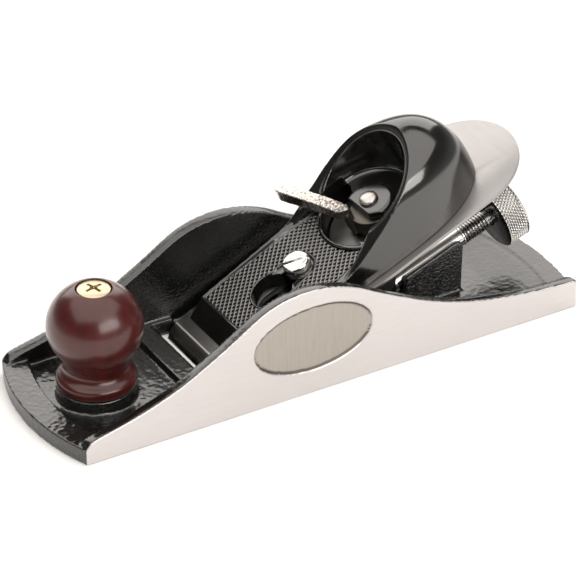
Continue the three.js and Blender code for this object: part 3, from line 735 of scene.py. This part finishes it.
def cap_slab():
    outline = [
        (-8.6, CAP_UNDERSIDE), (-60, CAP_UNDERSIDE), (-60, flat_height(60)), (-14.8, flat_height(14.8)),
        (-8.6, CAP_UNDERSIDE + 0.5),
    ]
    return prism(outline, -CAP_HALF_WIDTH, CAP_HALF_WIDTH, "Y")


def hood_ring(height):
    """The hood's outline at a height: sides that taper at the front, and an oval back."""
    shoulder, top = 15, HOOD_TOP
    above = max(0, (height - shoulder) / (top - shoulder))
    half = 18.2 * max(0.01, 1 - above**2.5) ** 0.4
    rise = (height - CAP_UNDERSIDE) / (top - CAP_UNDERSIDE)
    reach = 13.5 + 16.2 * max(0, 1 - rise**2.4) ** 0.5
    sides = [(-44 - 2.5 * i, half * (1 - 0.024 * max(0, 1 - i / 6))) for i in range(13)]
    ring = [(s, v, height) for s, v in sides[:-1]]
    turns = np.linspace(0, math.pi, 65)
    ring += [(-74 - reach * math.sin(a), half * math.cos(a), height) for a in turns]
    ring += [(s, -v, height) for s, v in reversed(sides[:-1])]
    return ring


def hood():
    tall = HOOD_TOP - CAP_UNDERSIDE
    heights = [CAP_UNDERSIDE + tall * math.sin(a) for a in np.linspace(0, math.pi / 2, 44)[:-1]]
    dome = skin([hood_ring(min(h, HOOD_TOP - 0.02)) for h in heights] + [hood_ring(HOOD_TOP)])
    slope = [(-s, rim_height(s)) for s in range(40, 93)]
    front = prism(slope + [(-92, 60), (-40, 60)], -30, 30, "Y")
    return carve(dome, [front])


def web_outline():
    """The web that carries the rivet, with a round neck at its front."""
    front = [
        (69.6, -16.6), (69.7, -14.6), (69.9, -12.4), (69.4, -10.5), (68.5, -8.9), (67, -7.6),
        (65, -5.4), (63.9, -2.4), (64, 1), (65.1, 3.8), (67.2, 5.8), (68.8, 7.2), (69.9, 9.4),
        (70.6, 11.6), (71, 16.6),
    ]
    return [(-s, v) for s, v in curve_through(front, 5)] + [(-96, 16.6), (-96, -16.6)]


def hood_cavity():
    """What is cut out of the hood: room for the cam below, its opening, and the bowl above."""
    drum = prism(disc(-RIVET_S, 0, 16.2, 96), -1, WEB_UNDERSIDE)
    well = prism(disc(-RIVET_S, 0, OPENING_RADIUS, 96), 0, 40)
    opening = carve(well, [prism(web_outline(), 0.5, 40.5)])
    wall = [(13.2, 11.3), (14.2, 12), (14.6, 14), (15, 18), (15.3, 22), (BOWL_RADIUS, 27)]
    bowl = [(0, PAD_TOP), (6.8, PAD_TOP), (7.5, PAD_TOP - 0.4), (7.8, 11.3)]
    bowl += curve_through(wall, 6) + [(BOWL_RADIUS, 40), (0, 40)]
    return [drum, opening, lathe(bowl, 96, (-RIVET_S, 0, 0))]


def on_flat(piece):
    """Leans a piece to the slope of the cap's flat, so that heights are counted from the flat."""
    points = coordinates(piece)
    points[:, 2] += flat_height(-points[:, 0])
    return move_points(piece, points)


def mirrored(edge):
    """A closed outline from one side's points of (distance up the bed, half width)."""
    return [(-s, v) for s, v in edge] + [(-s, -v) for s, v in reversed(edge)]


def between_rims():
    """The hollow between the hood's two rims, down to the flat."""
    edge = [(43, 16.5), (47.4, 16), (53, 15), (59.4, 13.4), (66, 11.6)]
    return on_flat(prism(mirrored(edge), 0, 30))


def rim_chamfer():
    """A broad break along the inner edge of the hood's rim."""
    def ring(extra, height):
        edge = [(43, 16.5), (47.4, 16), (50, 15.55), (53, 15), (57, 14.1)]
        edge = [(s, half + extra) for s, half in edge]
        radius = BOWL_RADIUS + extra
        start = math.asin((12.9 + extra * 0.9) / radius)
        turned = arc(RIVET_S, 0, radius, math.pi - start, 0, 40)
        outline = mirrored(edge + turned[:-1])
        return [(x, y, height + rim_height(-x)) for x, y in outline]
    return skin([ring(0.02, -0.4), ring(1.3, 0.05), ring(1.32, 8)])


def keyhole_edge(extra):
    """The keyhole's pear-shaped outline, made larger all round by extra."""
    x = -CAP_SCREW_S
    large, small = 6.4 + extra, 5 + extra
    lean = math.asin((large - small) / KEYHOLE_TRAVEL)
    right = arc(x + KEYHOLE_TRAVEL, 0, large, lean - math.pi / 2, math.pi / 2 - lean, 40)
    return right + arc(x, 0, small, math.pi / 2 - lean, 3 * math.pi / 2 + lean, 40)


def grip_outline():
    edge = [(15.4, 16.9), (22, 16.5), (28.6, 15.9), (44, 14.9), (52, 14.2), (56, 13.4)]
    return mirrored(edge + [(60, 12.8)])


def grip_pattern():
    """A field of small pressed diamonds, their rows at 45 degrees to the cap's length."""
    pitch, middle = 1.4, -37
    marks = [pitch * (i + part) for i in range(-24, 24) for part in (0.09, 0.23, 0.77, 0.91)]
    count = len(marks)
    deep = [float(0.2 < mark / pitch % 1 < 0.8) for mark in marks]
    turn = math.sqrt(0.5)
    spots = [(middle + (p + q) * turn, (p - q) * turn) for p in marks for q in marks]
    sunk = [0.5 * min(first, second) for first in deep for second in deep]
    points = [(x, y, 0.16 - depth) for (x, y), depth in zip(spots, sunk)]
    faces = []
    for i in range(count - 1):
        for j in range(count - 1):
            a = i * count + j
            faces.append((a, a + 1, a + count + 1, a + count))
    rim = [i * count for i in range(count)]
    rim += [(count - 1) * count + j for j in range(1, count)]
    rim += [i * count + count - 1 for i in range(count - 2, -1, -1)]
    rim += list(range(count - 2, 0, -1))
    low = len(points)
    points += [points[k][:2] + (-0.9,) for k in rim]
    ring = range(len(rim))
    for k in ring:
        after = (k + 1) % len(rim)
        faces.append((rim[k], rim[after], low + after, low + k))
    faces.append(tuple(low + k for k in ring))
    field = on_flat(from_data("field", points, faces))
    carve(field, [on_flat(prism(grip_outline(), -0.7, 1))], "INTERSECT")
    cuts = [prism(keyhole_edge(0.75), -2, 20), prism(disc(-RIVET_S, 0, 17.4, 96), -2, 20)]
    carve(field, cuts)
    field.data.shade_smooth()
    return field


def keyhole():
    x = -CAP_SCREW_S
    return [
        prism(disc(x + KEYHOLE_TRAVEL, 0, 6.4), -1, 20),
        prism(slot_outline(x - 3.2, x + KEYHOLE_TRAVEL, 3.1), -1.2, 20.4),
        prism(keyhole_edge(0), 7.6, 20.2),
    ]


def lever_cap():
    dome = carve(hood(), [between_rims()])
    cap = joined([cap_slab(), dome])
    carve(cap, [on_flat(prism(grip_outline(), -0.55, 5))])
    bead = on_flat(prism(keyhole_edge(0.7), -1, 0.3))
    collar = prism(disc(-RIVET_S, 0, 17.2, 96), -1, 1)
    collar = on_flat(carve(collar, [block(-90, -60.5, -20, 20, -2, 2)]))
    edges = (-CAP_HALF_WIDTH, CAP_HALF_WIDTH - 0.5)
    side_beads = [on_flat(block(-46, -15.2, y, y + 0.5, -0.5, 0.25)) for y in edges]
    joined([cap, bead, collar, *side_beads])
    rivet_hole = prism(disc(-RIVET_S, 0, PIN_HOLE_RADIUS, 24), 5, 15)
    carve(cap, hood_cavity() + keyhole() + [rivet_hole, rim_chamfer()])
    return cast(cap, 0.26, 3)


# Small pieces on the cap, in the bed's frame

def lever_cap_screw():
    profile = [(0, -13), (2.5, -13), (2.5, 7.7), (4.2, 7.7), (4.2, 10.8), (3.9, 11.3)]
    profile += [(3.4, 11.45), (0, 11.5)]
    head = lathe(profile, 72, (-CAP_SCREW_S, 0, 0))
    slot = block(-6, 6, -0.55, 0.55, 10.3, 13)
    slot.data.transform(in_metres(Matrix.Rotation(-0.5, 4, "Z"), (-CAP_SCREW_S, 0, 0)))
    return broken_edges(carve(head, [slot]), 0.1)


def cam_lever():
    x = -RIVET_S
    disc_part = prism(disc(x, 0, 7.2), 4.6, 9.9)
    centres = [(x + 5.4 * math.cos(a), 5.4 * math.sin(a)) for a in (-2.4, 0.75)]
    pads = [prism(disc(*centre, 1.6, 32), 3.5, 5.1) for centre in centres]
    root = prism([(-64.4, -5), (-61.6, -5), (-61.2, 0), (-62.9, 0)], 4.7, 12.8)
    plan = [(-62.8, 0.2), (-62.7, -3)] + bent((-62.7, -3), (-58.5, -13), (-54.7, -22.4))
    plan += bent((-54.7, -22.4), (-54, -24.6), (-52.7, -24))
    plan += bent((-52.7, -24), (-51.2, -23.4), (-51.5, -21.4))
    plan += bent((-51.5, -21.4), (-55.6, -10), (-59.4, -1.2))
    profile = [(3, 10.4)] + bent((3, 10.4), (-4, 14.6), (-29, 14.4)) + [(-29, 18.8)]
    profile += bent((-29, 18.8), (-8, 19), (3, 13.6))
    points = [(a, y, z) for a in (-68, -48) for y, z in profile]
    count = len(profile)
    faces = [tuple(range(count)), tuple(range(count, 2 * count))]
    faces += [(i, (i + 1) % count, (i + 1) % count + count, i + count) for i in range(count)]
    handle = carve(prism(plan, 8, 20), [from_data("slab", points, faces)], "INTERSECT")
    lever = joined([disc_part, *pads, root, handle])
    carve(lever, [prism(disc(x, 0, PIN_HOLE_RADIUS, 24), 0, 20), prism(disc(x, 0, 3.5, 32), 0.2, 6.1)])
    cast(lever, 0.22, 4)
    on_handle = lambda points, normals: np.clip((points[:, 2] - 10) / 2, 0, 1)
    return ripple(lever, 0.09, 0.85, on_handle)


def cam_rivet():
    profile = [(0, 4.8), (3.2, 4.8), (3.2, 5.8), (2, 5.8), (2, PAD_TOP), (2.85, PAD_TOP)]
    head = [(2.9, 0.2), (2.88, 0.6), (2.7, 0.95), (2.3, 1.2), (1.5, 1.37), (0, 1.4)]
    profile += [(radius, PAD_TOP + height) for radius, height in head]
    return broken_edges(lathe(profile, 64, (-RIVET_S, 0, 0)), 0.05)


# Adjuster, in the rod's frame

def level_rings(profile, segments):
    """Rings about Z from (height, radius) pairs. A radius may be a function of angle and height."""
    rings = []
    for z, radius in profile:
        ring = []
        for i in range(segments):
            angle = 2 * math.pi * i / segments
            here = radius(angle, z) if callable(radius) else radius
            ring.append((here * math.cos(angle), here * math.sin(angle), z))
        rings.append(ring)
    return rings


def thread_radius(angle, z):
    """A helix of 1 mm pitch cut into the rod, fading out at both ends."""
    phase = (z + angle / (2 * math.pi)) % 1
    fade = min(1, (z - THREAD_START) / 0.8, (THREAD_END - z) / 0.5)
    return ROD_RADIUS - THREAD_DEPTH * max(0, fade) * abs(2 * phase - 1)


def adjuster_rod():
    """A rod with a rolled thread beside the knob and a plain shank in the rib."""
    profile = [(-46.6, 0.02), (-46.6, 2.1), (-46.3, 2.4), (-38.3, 2.4), (-38.3, 3.7)]
    profile += [(-36.9, 3.7), (-36.9, 2.7), (-11.6, 2.7), (-11.2, 2.75)]
    profile += [(z, thread_radius) for z in np.arange(THREAD_START, THREAD_END, 0.08)]
    profile += [(-1.5, 2.6), (6.2, 2.6), (6.2, 0.02)]
    return smooth_to(skin(level_rings(profile, 64), "rod"), 45)


def knurl_radius(angle, z):
    """Two sets of grooves wound opposite ways round the knob, fading out at its ends."""
    tooth = angle * KNURL_TEETH / (2 * math.pi)
    first = (tooth + z / KNURL_LEAD) % 1
    second = (tooth - z / KNURL_LEAD) % 1
    groove = max(abs(2 * first - 1), abs(2 * second - 1))
    fade = min(1, (z - 0.5) / 0.5, (KNURL_LENGTH - 0.6 - z) / 0.5)
    return KNURL_RADIUS - 0.02 - KNURL_DEPTH * max(0, fade) * groove


def adjuster_knob():
    """A knurled knob, bored for the rod at its front and dished at its back."""
    bore, end = KNURL_LENGTH - 1.6, KNURL_LENGTH
    profile = [(bore, 0.02), (bore, 2.95), (0, 2.95)]
    profile += [(0, KNURL_RADIUS - 0.9), (0.35, KNURL_RADIUS - 0.35)]
    profile += [(z, knurl_radius) for z in np.arange(0.55, end - 0.6, 0.12)]
    profile += [(end - 0.5, KNURL_RADIUS - 0.3), (end, KNURL_RADIUS - 0.9), (end, 7.6)]
    profile += [(end - 0.35, 7.2), (end - 0.35, 0.02)]
    return smooth_to(skin(level_rings(profile, 8 * KNURL_TEETH), "knob"), 50)


# Placing

def put(piece, name, body, material, replaced, matrix=None):
    piece.name = name
    piece.data.name = name
    piece.data.materials.clear()
    piece.data.materials.append(material)
    if matrix is not None:
        piece.data.transform(matrix)
    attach(piece, body)
    if replaced:
        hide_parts(replaced)


def build_object():
    plated = metal_material("plated_steel", (0.92, 0.90, 0.86, 1), 0.12)
    rough_plated = cast_nickel_material()
    rivet_colour = (0.62, 0.59, 0.55, 1)
    rivet_metal = metal_material("rivet_nickel", rivet_colour, 0.24, (700, 700, 700), 0.03, 0.15)
    brass = metal_material("brass", (0.70, 0.60, 0.41, 1), 0.28)
    dark = metal_material("dark_steel", (0.30, 0.29, 0.28, 1), 0.3)
    put(body_casting(), "body_shell", "body", casting_material(), "body_casting")
    put(front_knob(), "ball_knob", "body", wood_material(), "front_knob")
    put(knob_screw(), "cross_screw", "body", brass, "knob_screw")
    put(blade(), "blade", "blade", blade_material(), "cutter", BED)
    put(lever_cap(), "cap_shell", "cap", cap_material(), "lever_cap", BED)
    put(grip_pattern(), "grip_pattern", "cap", grip_material(), None, BED)
    put(lever_cap_screw(), "slotted_screw", "cap_screw", plated, "lever_cap_screw", BED)
    put(cam_lever(), "cam_handle", "cam", rough_plated, "cam_lever", BED)
    put(cam_rivet(), "cam_pin", "cap", rivet_metal, "cam_rivet", BED)
    threaded = turned_material("thread_steel", 2.35, 2.75)
    rim = KNURL_RADIUS
    knurled = turned_material("knurl_steel", rim - 0.5, rim - 0.2, rim - 0.6)
    put(adjuster_rod(), "threaded_rod", "adjuster", threaded, "adjuster_rod", ROD)
    put(adjuster_knob(), "knurled_knob", "adjuster", knurled, "adjuster_knob", ROD)
    for name in ("pressure_plate", "depth_lever", "trunnion_nut", "lever_pin"):
        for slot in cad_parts[name].material_slots:
            slot.material = dark


# Studio. Places are in metres.

CAMERA_PLACE = (0.342697, 0.555131, 0.417262)
CAMERA_AWAY = (0.4453164, 0.72742752, 0.52205604)
CAMERA_ROLL = math.radians(0.789)
CAMERA_AZIMUTH = math.radians(148.5)
LENS = 161.33
SENSOR_WIDTH = 36
WARM = (1, 0.955, 0.915)


def area_light(name, place, aim, size, radiance):
    """A soft warm panel. One straight above what it aims at is turned in line with the camera."""
    data = bpy.data.lights.new(name, "AREA")
    data.shape = "RECTANGLE"
    data.size, data.size_y = size
    data.energy = radiance * math.pi * size[0] * size[1]
    data.color = WARM
    lamp = bpy.data.objects.new(name, data)
    scene.collection.objects.link(lamp)
    lamp.location = place
    turn = (Vector(aim) - Vector(place)).to_track_quat("-Z", "Y").to_matrix()
    if place[:2] == aim[:2]:
        turn = Matrix.Rotation(CAMERA_AZIMUTH, 3, "Z")
    lamp.rotation_euler = turn.to_euler()


def studio():
    reach = 3000
    corners = [(-reach, -reach, 0), (reach, -reach, 0), (reach, reach, 0), (-reach, reach, 0)]
    floor = from_data("floor", corners, [(0, 1, 2, 3)])
    floor.location.z = -0.05 * MM
    floor.data.materials.append(floor_material())
    area_light("overhead", (0.17, 0.28, 1.1), (0.17, 0.28, 0), (2.4, 1.65), 1.7)
    area_light("back", (-0.44, -1.05, 0.8), (0, 0, 0), (2.0, 1.15), 2.3)
    area_light("window", (-0.102, 0.729, 0.425), (0, 0, 0.03), (0.75, 0.34), 5.0)
    dim_surroundings()
    scene.view_settings.view_transform = "Standard"


def dim_surroundings():
    """A weak white world, brighter at the horizon than overhead."""
    world = bpy.data.worlds.new("studio")
    scene.world = world
    world.use_nodes = True
    nodes, links = world.node_tree.nodes, world.node_tree.links
    direction = nodes.new("ShaderNodeTexCoord").outputs["Generated"]
    split = nodes.new("ShaderNodeSeparateXYZ")
    links.new(direction, split.inputs[0])
    ramp = nodes.new("ShaderNodeMapRange")
    links.new(split.outputs["Z"], ramp.inputs["Value"])
    spread = {"From Min": 0.0, "From Max": 0.35, "To Min": 0.3, "To Max": 0.07}
    for name, value in spread.items():
        ramp.inputs[name].default_value = value
    links.new(ramp.outputs["Result"], nodes["Background"].inputs["Strength"])
    nodes["Background"].inputs["Color"].default_value = (1, 1, 1, 1)


def camera():
    data = bpy.data.cameras.new("camera")
    data.sensor_width = SENSOR_WIDTH
    data.lens = LENS
    data.clip_start, data.clip_end = 0.05, 20
    view = bpy.data.objects.new("camera", data)
    scene.collection.objects.link(view)
    turn = Vector(CAMERA_AWAY).to_track_quat("Z", "Y").to_matrix().to_4x4()
    turn @= Matrix.Rotation(CAMERA_ROLL, 4, "Z")
    view.matrix_world = Matrix.Translation(Vector(CAMERA_PLACE)) @ turn
    scene.camera = view


build_object()
studio()
camera()
